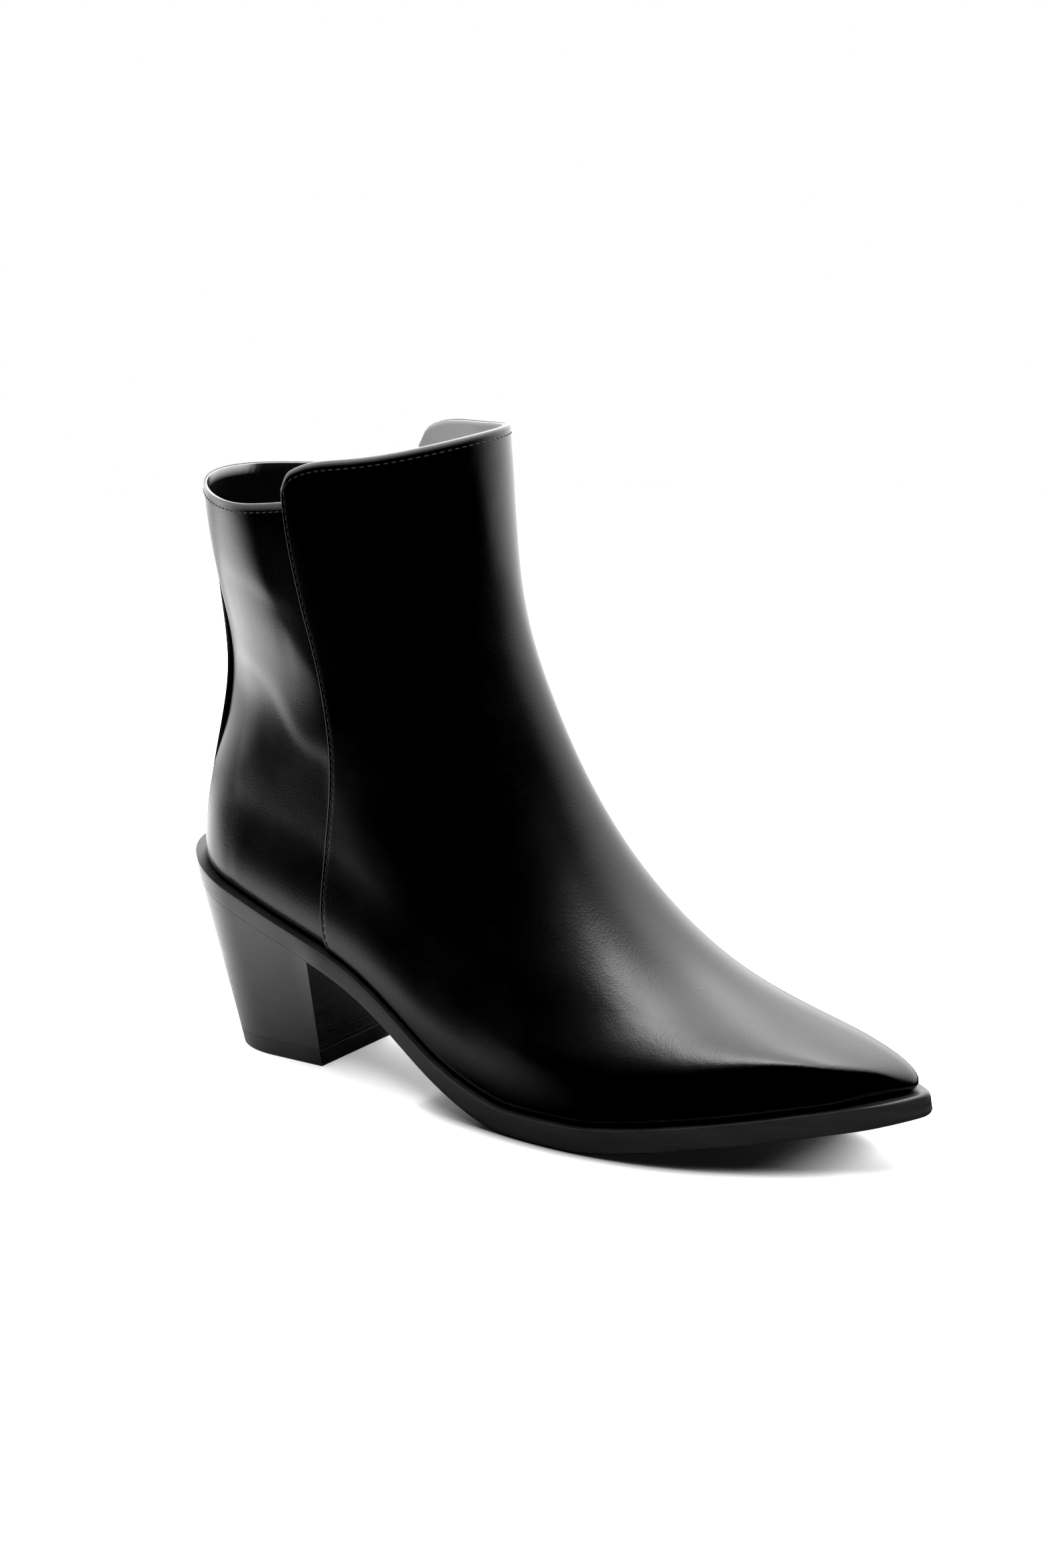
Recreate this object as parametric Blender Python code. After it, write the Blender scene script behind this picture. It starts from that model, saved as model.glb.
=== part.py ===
# Pointed-toe ankle boot for the right foot: upper, outsole, block heel, heel lift and insole.
# The tables are in millimetres: x from the back of the sole to the toe, y to the inner side, z up.
# The meshes are in metres, with the bottom centre of the boot's box at the origin.
import bpy
import numpy as np

MM = 0.001

# Driving sizes
SOLE_LENGTH = 256.2
SOLE_EDGE = 0.8            # chamfer round the plate
HEEL_ROUND = 26.0          # length of the round back of the sole
TOE_BLUNT = 13.0           # length of the blunt tip of the sole
TOE_FULLNESS = 2.2
RIM = 2.4                  # ledge of the sole round the upper
WALL = 1.8                 # leather and lining together
LAP = 0.8                  # step where the front panel lies over the quarter
LAP_EDGE = 0.6             # width of that step's slope
CHEEK = 1.6                # how far the upper swells above the ledge
CHEEK_HEIGHT = 34.0        # where that swelling has run out
TOE_PINCH = 4.0            # how far the outer side turns inward at the toe tip
PINCH_START = 232.0        # where it starts to turn
PINCH_REACH = 18.0         # length over which it turns
SHAFT_FOOT = 8.0           # height above the sole where the shaft's width starts to count
SHAFT_FADE = 70.0          # rise over which it takes over
VAMP_START = 100.0         # where it gives way to the sole's outline again
VAMP_FADE = 70.0
COLLAR_BACK = 180.5
COLLAR_DIP = 2.5           # sag of the quarter's collar between back seam and side seam
INNER_RISE = 2.2           # how much higher the collar stands at the inner seam
SHELF = 0.955              # share of the ridge below the level of the notch
LIFT = 5.5                 # thickness of the heel lift
HEEL_FRONT_TOP = 57.4      # breast of the heel at the sole
HEEL_FRONT_FOOT = 54.8
HEEL_BACK_FOOT = 15.5
HEEL_FOOT_WIDTH = 18.0     # half width of the heel on the floor
HEEL_FOOT_ROUND = 20.0
HEEL_INSET = 0.5
INSOLE_THICKNESS = 3.5
INSOLE_CLEARANCE = 1.0
SEAT_GAP = 0.3             # gap between pieces that touch

# Mesh density
QUARTER_COLUMNS = 11
FRONT_COLUMNS = 24
ROWS = 24
ROW_GRADING = 1.4          # rows lie closer near the sole
BAND_ROWS = 3
RIDGE_SAMPLES = 1200
HEEL_COLUMNS = 16
HEEL_RINGS = 5
SHARP_ANGLE = 40


def table(columns, *rows):
    """A table written row by row, read by the names of its columns."""
    return {name: np.array(values, float) for name, values in zip(columns.split(), zip(*rows))}


# Underside of the sole, its half widths on both sides before heel and toe are rounded off, its thickness.
SOLE = table(
    "x z outer inner thickness",
    (0, 56.6, 26.6, 25.6, 6.7),
    (24, 48.6, 27.8, 26.4, 6.2),
    (40, 43.1, 28.7, 26.8, 6.0),
    (56, 38.0, 29.5, 26.8, 5.9),
    (72, 31.9, 30.4, 26.2, 5.6),
    (89, 22.0, 31.7, 26.4, 5.1),
    (104, 11.7, 33.1, 28.2, 5.3),
    (119, 4.0, 34.9, 31.0, 6.6),
    (132, 0.4, 36.8, 33.6, 7.4),
    (144, -0.4, 38.2, 35.5, 7.5),
    (158, -0.2, 38.5, 36.8, 7.7),
    (172, 1.5, 37.3, 36.9, 7.5),
    (189, 4.6, 33.8, 35.0, 7.2),
    (206, 7.9, 28.0, 31.0, 7.0),
    (226, 12.0, 19.2, 25.0, 7.0),
    (242, 15.2, 10.7, 18.6, 7.1),
    (256.2, 18.2, 2.0, 12.6, 7.1),
)
# Line of toe, vamp, instep and shaft front, with the depth of the rounding on the outer and the inner side
# and its fullness. The toe is flatter on top and squarer at its outer shoulder.
RIDGE = table(
    "x z outer inner fullness",
    (251, 24.0, 8, 9, 2.0),
    (250.2, 27.6, 7, 9, 2.0),
    (246.8, 31.0, 5.5, 10, 2.0),
    (240, 34.2, 5.5, 12, 2.0),
    (215, 41.7, 12, 22, 1.9),
    (186, 52.6, 34, 39, 1.75),
    (161, 71.4, 56, 56, 1.7),
    (141, 95.8, 66, 66, 1.75),
    (124.6, 124, 64, 64, 1.9),
    (114.2, 148, 56, 56, 2.0),
    (109.3, 175, 51, 51, 2.0),
    (106.5, 203.3, 50, 50, 2.0),
)
# Back seam from the sole to the collar, with the rounding in front of it.
BACK = table(
    "z x depth fullness",
    (62, 3.2, 26, 2.0),
    (80, 3.0, 27, 1.9),
    (100, 6.6, 34, 1.65),
    (120, 9.6, 39, 1.5),
    (142, 8.3, 40, 1.5),
    (160, 6.2, 40, 1.5),
    (182, 4.4, 40, 1.5),
)
SHAFT = table(
    "z half_width",
    (60, 28.0),
    (100, 29.5),
    (150, 33.5),
    (180, 36.0),
    (205, 36.8),
)
# Side seam, where the front panel laps over the quarter, from the sole up to the notch.
SEAM = table(
    "x z",
    (64.6, 41.2),
    (63.3, 47),
    (62.9, 57),
    (63.9, 74),
    (65.8, 88),
    (67.1, 103),
    (66.7, 115),
    (65.4, 126),
    (63.4, 137),
    (60.9, 147.5),
    (58.6, 159),
    (56.7, 170),
    (55.5, 181.5),
)
# Top edge of the front panel, with its round corner above the notch.
COLLAR_FRONT = table(
    "x z",
    (55.9, 186),
    (57.2, 189.2),
    (60, 192.2),
    (64, 194),
    (78, 196.8),
    (94, 200),
    (106.5, 203.3),
)
# Sideways bend of the last: the toe points a little to the inner side.
BEND = table(
    "x y",
    (0, 0),
    (60, 0),
    (110, 0),
    (150, 0.8),
    (190, 2.4),
    (230, 4.4),
    (252, 5.6),
)


def spline(knots, values):
    """Natural cubic spline through the rows of a table."""
    count = len(knots)
    step = np.diff(knots)
    matrix = np.eye(count)
    right = np.zeros(count)
    for i in range(1, count - 1):
        matrix[i, i - 1:i + 2] = step[i - 1], 2 * (step[i - 1] + step[i]), step[i]
        right[i] = 6 * ((values[i + 1] - values[i]) / step[i] - (values[i] - values[i - 1]) / step[i - 1])
    bend = np.linalg.solve(matrix, right)

    def at(position):
        position = np.clip(position, knots[0], knots[-1])
        i = np.clip(np.searchsorted(knots, position) - 1, 0, count - 2)
        v = (position - knots[i]) / step[i]
        u = 1 - v
        curve = ((u**3 - u) * bend[i] + (v**3 - v) * bend[i + 1]) * step[i]**2 / 6
        return u * values[i] + v * values[i + 1] + curve

    return at


def path(points, *columns):
    """Splines of a table's columns over the share of the way along its x and z."""
    way = np.concatenate([[0], np.cumsum(np.hypot(np.diff(points["x"]), np.diff(points["z"])))])
    return [spline(way / way[-1], points[name]) for name in columns]


sole_underside = spline(SOLE["x"], SOLE["z"])
outer_width = spline(SOLE["x"], SOLE["outer"])
inner_width = spline(SOLE["x"], SOLE["inner"])
thickness = spline(SOLE["x"], SOLE["thickness"])
back_x = spline(BACK["z"], BACK["x"])
back_depth = spline(BACK["z"], BACK["depth"])
back_fullness = spline(BACK["z"], BACK["fullness"])
shaft_width = spline(SHAFT["z"], SHAFT["half_width"])
collar_front = spline(COLLAR_FRONT["x"], COLLAR_FRONT["z"])
bend_y = spline(BEND["x"], BEND["y"])
seam_x, seam_z = path(SEAM, "x", "z")


def underside(x):
    """Height of the sole's underside, flat on the floor under the ball."""
    return np.maximum(sole_underside(x), 0)


def topside(x):
    """Height of the sole's top, at the plate's thickness square to its slope."""
    slope = sole_underside(x + 0.5) - sole_underside(x - 0.5)
    return underside(x) + thickness(x) * np.sqrt(1 + slope**2)


def feather(x):
    """Height of the upper's bottom edge."""
    return topside(x) + SEAT_GAP


# The ridge starts at the tip of the toe, on the feather line.
RIDGE["z"][0] = feather(RIDGE["x"][0])
ridge_x, ridge_z, outer_depth, inner_depth, ridge_fullness = path(
    RIDGE, "x", "z", "outer", "inner", "fullness"
)
ridge_share = np.linspace(0, 1, RIDGE_SAMPLES)
ridge_points = np.stack([ridge_x(ridge_share), ridge_z(ridge_share)], -1)
ridge_tangents = np.gradient(ridge_points, axis=0)
ridge_tangents /= np.linalg.norm(ridge_tangents, axis=1, keepdims=True)


def ease(share):
    share = np.clip(share, 0, 1)
    return share * share * (3 - 2 * share)


def swell(share):
    """A soft bulge from 0 to 1, full at a third of the way and flat at the end."""
    share = np.clip(share, 0, 1)
    return 6.75 * share * (1 - share)**2


def rounding(share, fullness):
    """Rise from 0 at an edge to 1, steep at first, as a round section does."""
    return np.sqrt(1 - (1 - np.clip(share, 0, 1))**fullness)


def half_width(x, z, side):
    """Half width of the last: the sole's outline low down, the shaft's width above the heel."""
    height = z - feather(x)
    width = outer_width(x) if side < 0 else inner_width(x)
    foot = width - RIM + CHEEK * swell(height / CHEEK_HEIGHT)
    if side < 0:
        foot = foot - TOE_PINCH * ease((x - PINCH_START) / PINCH_REACH)
    shaft_share = ease((height - SHAFT_FOOT) / SHAFT_FADE) * (1 - ease((x - VAMP_START) / VAMP_FADE))
    return foot * (1 - shaft_share) + shaft_width(z) * shaft_share


def last_y(x, z, side):
    """Sideways place of the last's surface at a point of its side view."""
    offset = np.stack([x, z], -1)[..., None, :] - ridge_points
    nearest = (offset**2).sum(-1).argmin(-1)
    away = np.take_along_axis(offset, nearest[..., None, None], -2)[..., 0, :]
    along = ridge_tangents[nearest]
    from_ridge = np.abs(away[..., 0] * along[..., 1] - away[..., 1] * along[..., 0])
    share = ridge_share[nearest]
    depth = outer_depth(share) if side < 0 else inner_depth(share)
    front = rounding(from_ridge / depth, ridge_fullness(share))
    back = rounding((x - back_x(z)) / back_depth(z), back_fullness(z))
    middle = bend_y(x)
    width = half_width(np.maximum(x, HEEL_ROUND), z, side)
    return middle + (side * width - middle) * front * back


def between(left, right, share, rows):
    """A column between two paths of the side view, standing on the feather line."""
    column = left * (1 - share) + right * share
    column[:, 1] += (feather(column[0, 0]) - column[0, 1]) * (1 - rows)**2
    return column


def side_columns(side):
    """Columns of one side in side view, from the back seam over the side seam to the ridge."""
    rows = np.linspace(0, 1, ROWS)**ROW_GRADING
    rise = INNER_RISE if side > 0 else 0
    low = feather(BACK["x"][0])
    back_z = low + (COLLAR_BACK - low) * rows
    back = np.stack([back_x(back_z), back_z], -1)
    seam = np.stack([seam_x(rows), seam_z(rows)], -1)
    ridge = np.stack([ridge_x(rows * SHELF), ridge_z(rows * SHELF)], -1)
    columns = []
    for share in 1 - np.cos(np.linspace(0, np.pi / 2, QUARTER_COLUMNS)):
        column = between(back, seam, share, rows)
        column[:, 1] += (rise * share - COLLAR_DIP * np.sin(np.pi * share)) * rows**3
        columns.append(column)
    lap = seam + (LAP_EDGE, 0)
    for share in (1 - np.cos(np.linspace(0, np.pi, FRONT_COLUMNS))) / 2:
        column = between(lap, ridge, share, rows)
        column[:, 1] += rise * (1 - share) * rows**3
        edge_x = lap[-1, 0] * (1 - share) + RIDGE["x"][-1] * share
        edge = np.array([edge_x, collar_front(edge_x) + rise * (1 - share)])
        for step in np.linspace(0, 1, BAND_ROWS + 1)[1:]:
            column = np.vstack([column, column[ROWS - 1] * (1 - step) + edge * step])
        columns.append(column)
    return columns


def upper_skin():
    """Points, faces, front-panel flags and the bottom row of the last's surface on both sides."""
    columns = {side: side_columns(side) for side in (-1, 1)}
    last = len(columns[1]) - 1
    points, front, index = [], [], {}
    for side in (-1, 1):
        for c, column in enumerate(columns[side]):
            y = bend_y(column[:, 0]) if c in (0, last) else last_y(column[:, 0], column[:, 1], side)
            for r, (x, z) in enumerate(column):
                if c in (0, last) and side > 0:
                    index[side, c, r] = index[-1, c, r]
                    continue
                index[side, c, r] = len(points)
                points.append((x, y[r], z))
                front.append(c >= QUARTER_COLUMNS)
    faces = []
    for side in (-1, 1):
        for c in range(last):
            for r in range(min(len(columns[side][c]), len(columns[side][c + 1])) - 1):
                corners = [(c, r), (c + 1, r), (c + 1, r + 1), (c, r + 1)]
                face = [index[(side, *corner)] for corner in corners]
                faces.append(face if side < 0 else face[::-1])
    bottom = [index[-1, c, 0] for c in range(last + 1)] + [index[1, c, 0] for c in range(last - 1, 0, -1)]
    return np.array(points), faces, np.array(front), bottom


def point_normals(points, faces):
    normals = np.zeros_like(points)
    for face in faces:
        a, b, c, d = points[face]
        normals[face] += np.cross(c - a, d - b)
    return normals / np.linalg.norm(normals, axis=1, keepdims=True)


def open_edges(faces):
    """Edges that only one face has, in the direction of that face."""
    edges = {(face[i - 1], face[i]) for face in faces for i in range(len(face))}
    return [(a, b) for a, b in sorted(edges) if (b, a) not in edges]


def upper_shell():
    """The hollow upper, and the loop of its inner wall on the sole."""
    points, faces, front, bottom = upper_skin()
    normals = point_normals(points, faces)
    level = normals[bottom] * (1, 1, 0)
    normals[bottom] = level / np.linalg.norm(level, axis=1, keepdims=True)
    outside = points + normals * np.where(front, LAP / 2, -LAP / 2)[:, None]
    inside = points - normals * WALL
    count = len(points)
    shell = faces + [[i + count for i in reversed(face)] for face in faces]
    shell += [[b, a, a + count, b + count] for a, b in open_edges(faces)]
    return np.vstack([outside, inside]), shell, inside[bottom]


def sole_outline(stations):
    """Loop of the sole in plan: outer side from heel to toe, then inner side back."""
    x = np.clip(stations, SEAT_GAP, SOLE_LENGTH - SEAT_GAP)
    heel = rounding(x / HEEL_ROUND, 2)
    toe = rounding((SOLE_LENGTH - x) / TOE_BLUNT, TOE_FULLNESS)
    middle = (inner_width(x) - outer_width(x)) / 2
    half = (inner_width(x) + outer_width(x)) / 2 * heel * toe
    outer = np.stack([stations, middle - half], -1)
    inner = np.stack([stations, middle + half], -1)
    return np.vstack([outer, inner[::-1]])


def inset(loop, distance):
    """A loop moved inwards, square to itself."""
    along = np.roll(loop, -1, 0) - np.roll(loop, 1, 0)
    along /= np.linalg.norm(along, axis=1, keepdims=True)
    return loop + distance * np.stack([-along[:, 1], along[:, 0]], -1)


def raised(loop, height):
    return np.column_stack([loop, height])


def loft(rings):
    """A closed body through rings from bottom to top, closed by strips across the first and last."""
    count = len(rings[0])
    faces = []
    for level in range(len(rings) - 1):
        low = level * count
        for i in range(count):
            j = (i + 1) % count
            faces.append([low + i, low + j, low + count + j, low + count + i])
    top = (len(rings) - 1) * count
    for i in range(count // 2 - 1):
        strip = [i, i + 1, count - 2 - i, count - 1 - i]
        faces.append(strip[::-1])
        faces.append([top + k for k in strip])
    return np.vstack(rings), faces


def outsole_body(stations):
    outline = sole_outline(stations)
    trimmed = inset(outline, SOLE_EDGE)
    share = SOLE_EDGE / thickness(outline[:, 0])
    rings = []
    for loop, level in ((trimmed, 0), (outline, share), (outline, 1 - share), (trimmed, 1)):
        x = loop[:, 0]
        rings.append(raised(loop, underside(x) * (1 - level) + topside(x) * level))
    return loft(rings)


def heel_ends():
    """Matching loops of the heel at the sole and on the floor."""
    share = 1 - np.cos(np.linspace(0, np.pi / 2, HEEL_COLUMNS + 1)[1:])
    seat_x = HEEL_INSET + (HEEL_FRONT_TOP - HEEL_INSET) * share
    seat = sole_outline(seat_x)
    seat[:, 1] -= np.sign(seat[:, 1]) * HEEL_INSET
    foot_x = HEEL_BACK_FOOT + (HEEL_FRONT_FOOT - HEEL_BACK_FOOT) * share
    foot_y = HEEL_FOOT_WIDTH * rounding((foot_x - HEEL_BACK_FOOT + SEAT_GAP) / HEEL_FOOT_ROUND, 2)
    outer = np.stack([foot_x, -foot_y], -1)
    inner = np.stack([foot_x, foot_y], -1)
    foot = np.vstack([outer, inner[::-1]])
    return raised(seat, underside(seat[:, 0]) - SEAT_GAP), raised(foot, np.zeros(len(foot)))


def heel_ring(seat, foot, height):
    """Loop of the tapered block at a height above the floor."""
    share = (height / seat[:, 2])[:, None]
    return foot * (1 - share) + seat * share


def heel_body():
    seat, foot = heel_ends()
    low = heel_ring(seat, foot, LIFT + SEAT_GAP)
    return loft([low * (1 - share) + seat * share for share in np.linspace(0, 1, HEEL_RINGS)])


def lift_body():
    seat, foot = heel_ends()
    return loft([foot, heel_ring(seat, foot, LIFT)])


def insole_body(wall_loop):
    """The footbed inside the upper's wall."""
    loop = inset(wall_loop[:, :2], INSOLE_CLEARANCE)
    half = len(loop) // 2
    loop = np.vstack([loop[1:half], loop[half + 1:]])
    trimmed = inset(loop, SOLE_EDGE)
    rings = []
    for ring, above in (
        (loop, 0),
        (loop, INSOLE_THICKNESS - SOLE_EDGE),
        (trimmed, INSOLE_THICKNESS),
    ):
        rings.append(raised(ring, feather(ring[:, 0]) + above))
    return loft(rings)


def material(name, colour, roughness):
    made = bpy.data.materials.new(name)
    made.use_nodes = True
    shader = made.node_tree.nodes["Principled BSDF"]
    shader.inputs["Base Color"].default_value = (*colour, 1)
    shader.inputs["Roughness"].default_value = roughness
    shader.inputs["Metallic"].default_value = 0
    return made


def add_object(name, points, faces, finish):
    mesh = bpy.data.meshes.new(name)
    mesh.from_pydata((points * MM).tolist(), [], faces)
    mesh.materials.append(finish)
    mesh.shade_smooth()
    mesh.set_sharp_from_angle(angle=np.radians(SHARP_ANGLE))
    made = bpy.data.objects.new(name, mesh)
    bpy.context.scene.collection.objects.link(made)


def main():
    for old in list(bpy.data.objects):
        bpy.data.objects.remove(old, do_unlink=True)
    shell_points, shell_faces, wall_loop = upper_shell()
    half = len(wall_loop) // 2 + 1
    back_stations = [0, 0.6, 1.6]
    toe_stations = SOLE_LENGTH - np.array([6, 4, 2.4, 1.2, 0.4, 0])
    stations = np.concatenate([back_stations, wall_loop[:half, 0], toe_stations])
    bodies = {
        "upper": (shell_points, shell_faces),
        "outsole": outsole_body(stations),
        "heel": heel_body(),
        "heel_lift": lift_body(),
        "insole": insole_body(wall_loop),
    }
    finishes = {
        "upper": material("smooth_leather", (0.012, 0.012, 0.013), 0.32),
        "outsole": material("sole_edge", (0.02, 0.02, 0.021), 0.45),
        "heel": material("heel_block", (0.016, 0.016, 0.017), 0.42),
        "heel_lift": material("lift_rubber", (0.014, 0.014, 0.014), 0.7),
        "insole": material("footbed_leather", (0.05, 0.048, 0.046), 0.6),
    }
    corners = np.vstack([points for points, faces in bodies.values()])
    low, high = corners.min(0), corners.max(0)
    origin = np.array([(low[0] + high[0]) / 2, (low[1] + high[1]) / 2, low[2]])
    for name, (points, faces) in bodies.items():
        add_object(name, points - origin, faces, finishes[name])


main()
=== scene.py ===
import math

import bpy
import numpy as np
from mathutils import Matrix, Vector


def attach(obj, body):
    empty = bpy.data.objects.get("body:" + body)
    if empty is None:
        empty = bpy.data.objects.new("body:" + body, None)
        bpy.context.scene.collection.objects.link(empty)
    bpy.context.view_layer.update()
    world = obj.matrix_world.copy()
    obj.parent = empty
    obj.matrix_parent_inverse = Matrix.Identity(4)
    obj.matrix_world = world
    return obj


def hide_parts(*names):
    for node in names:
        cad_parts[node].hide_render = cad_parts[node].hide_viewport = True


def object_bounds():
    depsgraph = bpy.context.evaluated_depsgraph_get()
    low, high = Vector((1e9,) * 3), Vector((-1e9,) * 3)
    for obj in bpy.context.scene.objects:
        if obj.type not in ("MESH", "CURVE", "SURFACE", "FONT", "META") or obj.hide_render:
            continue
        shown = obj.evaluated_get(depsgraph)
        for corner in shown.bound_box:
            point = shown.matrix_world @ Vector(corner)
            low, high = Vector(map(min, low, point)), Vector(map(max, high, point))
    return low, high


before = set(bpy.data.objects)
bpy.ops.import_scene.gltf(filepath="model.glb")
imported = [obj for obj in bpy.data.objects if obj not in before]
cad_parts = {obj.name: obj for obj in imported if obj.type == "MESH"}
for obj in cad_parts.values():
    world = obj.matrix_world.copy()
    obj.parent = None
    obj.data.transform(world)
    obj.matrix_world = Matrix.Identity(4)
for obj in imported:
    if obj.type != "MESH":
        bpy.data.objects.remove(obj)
cadLow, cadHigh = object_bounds()
scene = bpy.context.scene
mm = 0.001
print("frame loaded,", len(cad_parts), "nodes")


def readTable(names, *rows):
    return {name: np.array(values, float) for name, values in zip(names.split(), zip(*rows))}


# the last, in mm: x from the back of the sole to the toe, y to the inner side, z up
soleTable = readTable(
    "x z outer inner thickness",
    (0, 56.6, 26.6, 25.6, 6.7), (24, 48.6, 27.8, 26.4, 6.2), (40, 43.1, 28.7, 26.8, 6.0),
    (56, 38.0, 29.5, 26.8, 5.9), (72, 31.9, 30.4, 26.2, 5.6), (89, 22.0, 31.7, 26.4, 5.1),
    (104, 11.7, 33.1, 28.2, 5.3), (119, 4.0, 34.9, 31.0, 6.6), (132, 0.4, 36.8, 33.6, 7.4),
    (144, -0.4, 38.2, 35.5, 7.5), (158, -0.2, 38.5, 36.8, 7.7), (172, 1.5, 37.3, 36.9, 7.5),
    (189, 4.6, 33.8, 35.0, 7.2), (206, 7.9, 28.0, 31.0, 7.0), (226, 12.0, 19.2, 25.0, 7.0),
    (242, 15.2, 10.7, 18.6, 7.1), (256.2, 18.2, 2.0, 12.6, 7.1),
)
ridgeTable = readTable(  # toe, vamp, instep and shaft front
    "x z outer inner fullness",
    (251, 24.0, 4, 9, 2.0), (250.2, 27.6, 2.6, 9, 2.0), (246.8, 31.0, 1.4, 10, 2.0),
    (240, 34.2, 1.9, 12, 2.0), (215, 41.7, 10.2, 22, 1.9), (186, 52.6, 33, 39, 1.75),
    (161, 71.4, 56, 56, 1.7), (141, 95.8, 66, 66, 1.75), (124.6, 124, 64, 64, 1.9),
    (114.2, 148, 56, 56, 2.0), (109.3, 175, 51, 51, 2.0), (106.5, 203.3, 50, 50, 2.0),
)
backTable = readTable(
    "z x depth fullness",
    (62, 3.2, 26, 2.0), (80, 3.0, 33, 1.9), (100, 6.6, 45, 1.65), (120, 9.6, 57, 1.5),
    (142, 8.3, 46, 1.5), (160, 6.2, 40, 1.5), (182, 4.4, 37, 1.5),
)
shaftTable = readTable("z halfWidth", (60, 28.0), (100, 29.5), (150, 33.5), (180, 36.0), (205, 36.8))
seamTable = readTable(
    "x z",
    (64.6, 41.2), (63.3, 47), (62.9, 57), (63.9, 74), (65.8, 88), (67.1, 103), (66.7, 115), (65.4, 126),
    (63.4, 137), (60.9, 147.5), (58.6, 159), (56.7, 170), (55.5, 181.5),
)
collarTable = readTable(
    "x z",
    (55.9, 186), (57.2, 189.2), (60, 192.2), (64, 194), (78, 196.8), (94, 200), (106.5, 203.3),
)
bendTable = readTable("x y", (0, 0), (60, 0), (110, 0), (150, 0.8), (190, 2.4), (230, 4.4), (252, 5.6))
lastSizes = {
    "soleLength": 256.2, "heelRound": 26.0, "toeBlunt": 13.0, "toeFullness": 2.2,
    "rim": 2.4, "cheek": 1.6, "cheekHeight": 34.0, "shaftFoot": 8.0, "shaftFade": 70.0,
    "vampStart": 100.0, "vampFade": 70.0, "collarBack": 180.5, "collarDip": 2.5, "innerRise": 2.2,
    "shelf": 0.955, "seatGap": 0.3, "toePinch": 6.0, "pinchStart": 232.0, "pinchReach": 18.0,
}


def smoothCurve(knots, values):
    count = len(knots)
    step = np.diff(knots)
    matrix = np.eye(count)
    right = np.zeros(count)
    for i in range(1, count - 1):
        matrix[i, i - 1:i + 2] = step[i - 1], 2 * (step[i - 1] + step[i]), step[i]
        right[i] = 6 * ((values[i + 1] - values[i]) / step[i] - (values[i] - values[i - 1]) / step[i - 1])
    bend = np.linalg.solve(matrix, right)

    def at(position):
        position = np.clip(position, knots[0], knots[-1])
        i = np.clip(np.searchsorted(knots, position) - 1, 0, count - 2)
        v = (position - knots[i]) / step[i]
        u = 1 - v
        curve = ((u**3 - u) * bend[i] + (v**3 - v) * bend[i + 1]) * step[i]**2 / 6
        return u * values[i] + v * values[i + 1] + curve

    return at


def pathCurves(points, *names):
    way = np.concatenate([[0], np.cumsum(np.hypot(np.diff(points["x"]), np.diff(points["z"])))])
    return [smoothCurve(way / way[-1], points[name]) for name in names]


soleUnderside = smoothCurve(soleTable["x"], soleTable["z"])
outerWidth = smoothCurve(soleTable["x"], soleTable["outer"])
innerWidth = smoothCurve(soleTable["x"], soleTable["inner"])
thickness = smoothCurve(soleTable["x"], soleTable["thickness"])
backX = smoothCurve(backTable["z"], backTable["x"])
backDepth = smoothCurve(backTable["z"], backTable["depth"])
backFullness = smoothCurve(backTable["z"], backTable["fullness"])
shaftWidth = smoothCurve(shaftTable["z"], shaftTable["halfWidth"])
collarFront = smoothCurve(collarTable["x"], collarTable["z"])
bendY = smoothCurve(bendTable["x"], bendTable["y"])
seamX, seamZ = pathCurves(seamTable, "x", "z")


def underside(x):
    return np.maximum(soleUnderside(x), 0)


def topside(x):
    slope = soleUnderside(x + 0.5) - soleUnderside(x - 0.5)
    return underside(x) + thickness(x) * np.sqrt(1 + slope**2)


def feather(x):
    return topside(x) + lastSizes["seatGap"]


ridgeTable["z"][0] = feather(ridgeTable["x"][0])  # the ridge starts at the toe tip, on the feather line
ridgeX, ridgeZ, outerDepth, innerDepth, ridgeFullness = pathCurves(
    ridgeTable, "x", "z", "outer", "inner", "fullness",
)
ridgeShare = np.linspace(0, 1, 1200)
ridgePoints = np.stack([ridgeX(ridgeShare), ridgeZ(ridgeShare)], -1)
ridgeTangents = np.gradient(ridgePoints, axis=0)
ridgeTangents /= np.linalg.norm(ridgeTangents, axis=1, keepdims=True)


def ease(share):
    share = np.clip(share, 0, 1)
    return share * share * (3 - 2 * share)


def swell(share):
    share = np.clip(share, 0, 1)
    return 6.75 * share * (1 - share)**2


def rounding(share, fullness):
    return np.sqrt(1 - (1 - np.clip(share, 0, 1))**fullness)


def bump(distance, width):
    return np.exp(-(distance / width)**2)


def halfWidth(x, z, side):
    s = lastSizes
    height = z - feather(x)
    width = outerWidth(x) if side < 0 else innerWidth(x)
    foot = width - s["rim"] + s["cheek"] * swell(height / s["cheekHeight"])
    if side < 0:
        foot = foot - s["toePinch"] * ease((x - s["pinchStart"]) / s["pinchReach"])
    shaft = ease((height - s["shaftFoot"]) / s["shaftFade"])
    shaft = shaft * (1 - ease((x - s["vampStart"]) / s["vampFade"]))
    return foot * (1 - shaft) + shaftWidth(z) * shaft


def lastY(x, z, side):
    offset = np.stack([x, z], -1)[..., None, :] - ridgePoints
    nearest = (offset**2).sum(-1).argmin(-1)
    away = np.take_along_axis(offset, nearest[..., None, None], -2)[..., 0, :]
    along = ridgeTangents[nearest]
    fromRidge = np.abs(away[..., 0] * along[..., 1] - away[..., 1] * along[..., 0])
    share = ridgeShare[nearest]
    depth = outerDepth(share) if side < 0 else innerDepth(share)
    front = rounding(fromRidge / depth, ridgeFullness(share))
    back = rounding((x - backX(z)) / backDepth(z), backFullness(z))
    middle = bendY(x)
    width = halfWidth(np.maximum(x, lastSizes["heelRound"]), z, side)
    return middle + (side * width - middle) * front * back


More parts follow.
